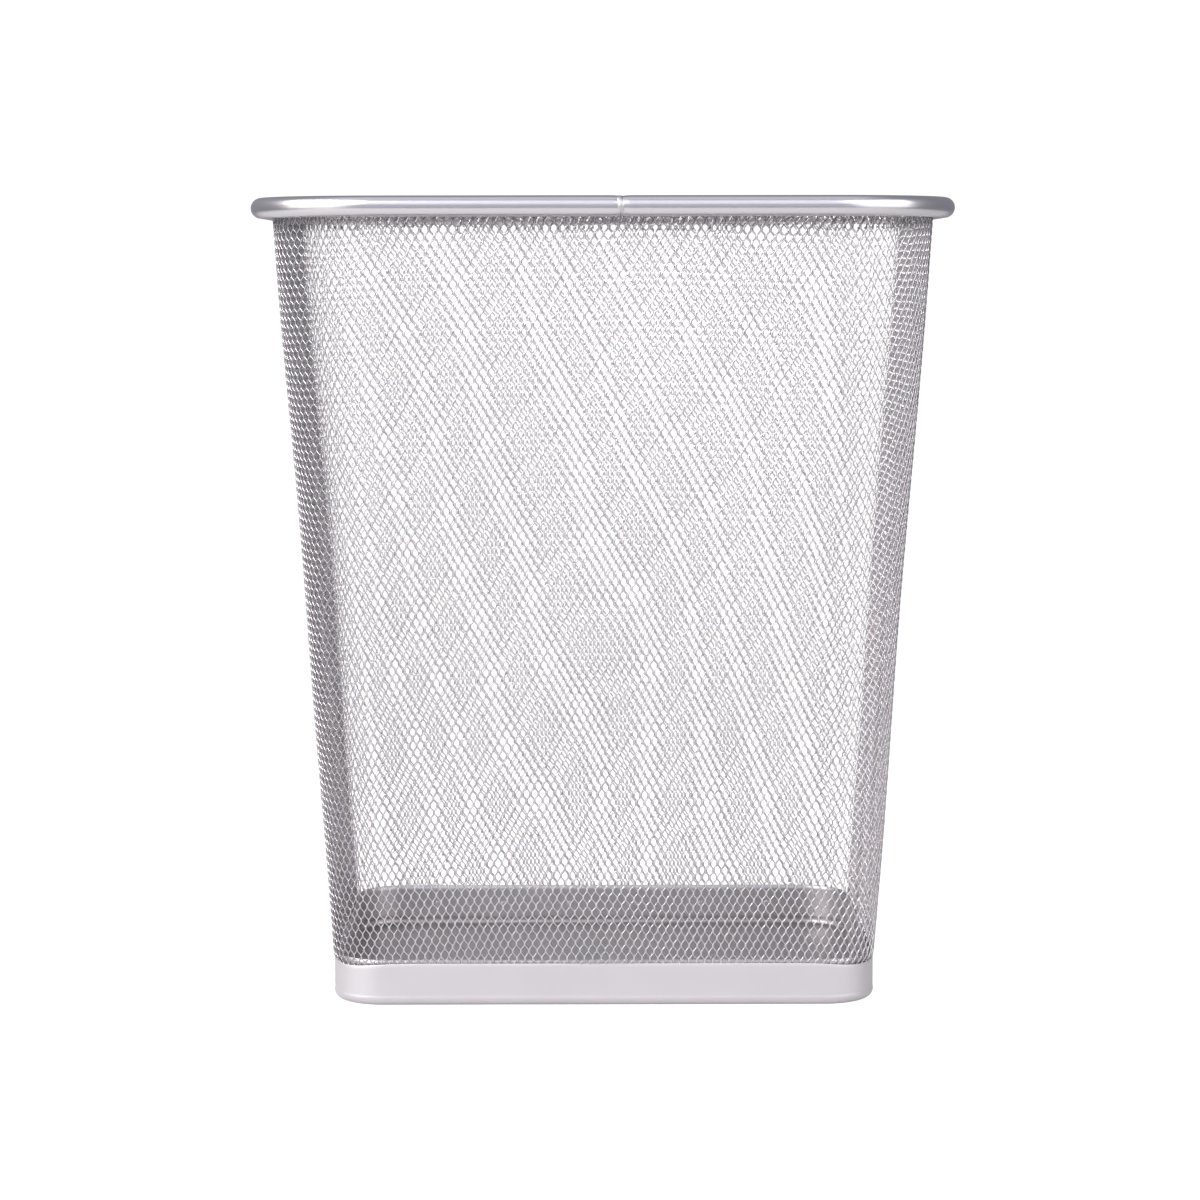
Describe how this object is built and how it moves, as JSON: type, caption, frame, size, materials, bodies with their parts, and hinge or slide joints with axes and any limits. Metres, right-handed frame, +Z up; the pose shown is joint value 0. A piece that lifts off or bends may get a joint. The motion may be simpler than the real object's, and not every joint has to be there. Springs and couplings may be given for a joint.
{
  "type": "wastebasket",
  "caption": "Open-topped rounded-rectangle wastebasket with a tapered expanded-metal wall, a round tube rim and a pressed sheet-metal base pan.",
  "frame": {"origin": "centre of the underside, on the surface that the basket stands on", "axes": "+Z up through the open mouth, +X along the wide side, front (with the rim's weld) towards -Y"},
  "size_m": [0.309, 0.2502, 0.3562],
  "materials": {
    "rim_paint": "glossy silver paint on steel tube",
    "mesh_paint": "satin silver paint on expanded steel",
    "pan_paint": "satin silver paint on sheet steel",
    "weld_paint": "silver paint over weld metal"
  },
  "bodies": {
    "root": {"rim_tube": "rim_paint", "rim_weld": "weld_paint", "mesh_wall": "mesh_paint", "lap_welds": "weld_paint", "rim_tack_welds": "weld_paint", "base_pan": "pan_paint", "clamp_band": "pan_paint", "band_welds": "weld_paint"}
  },
  "joints": []
}
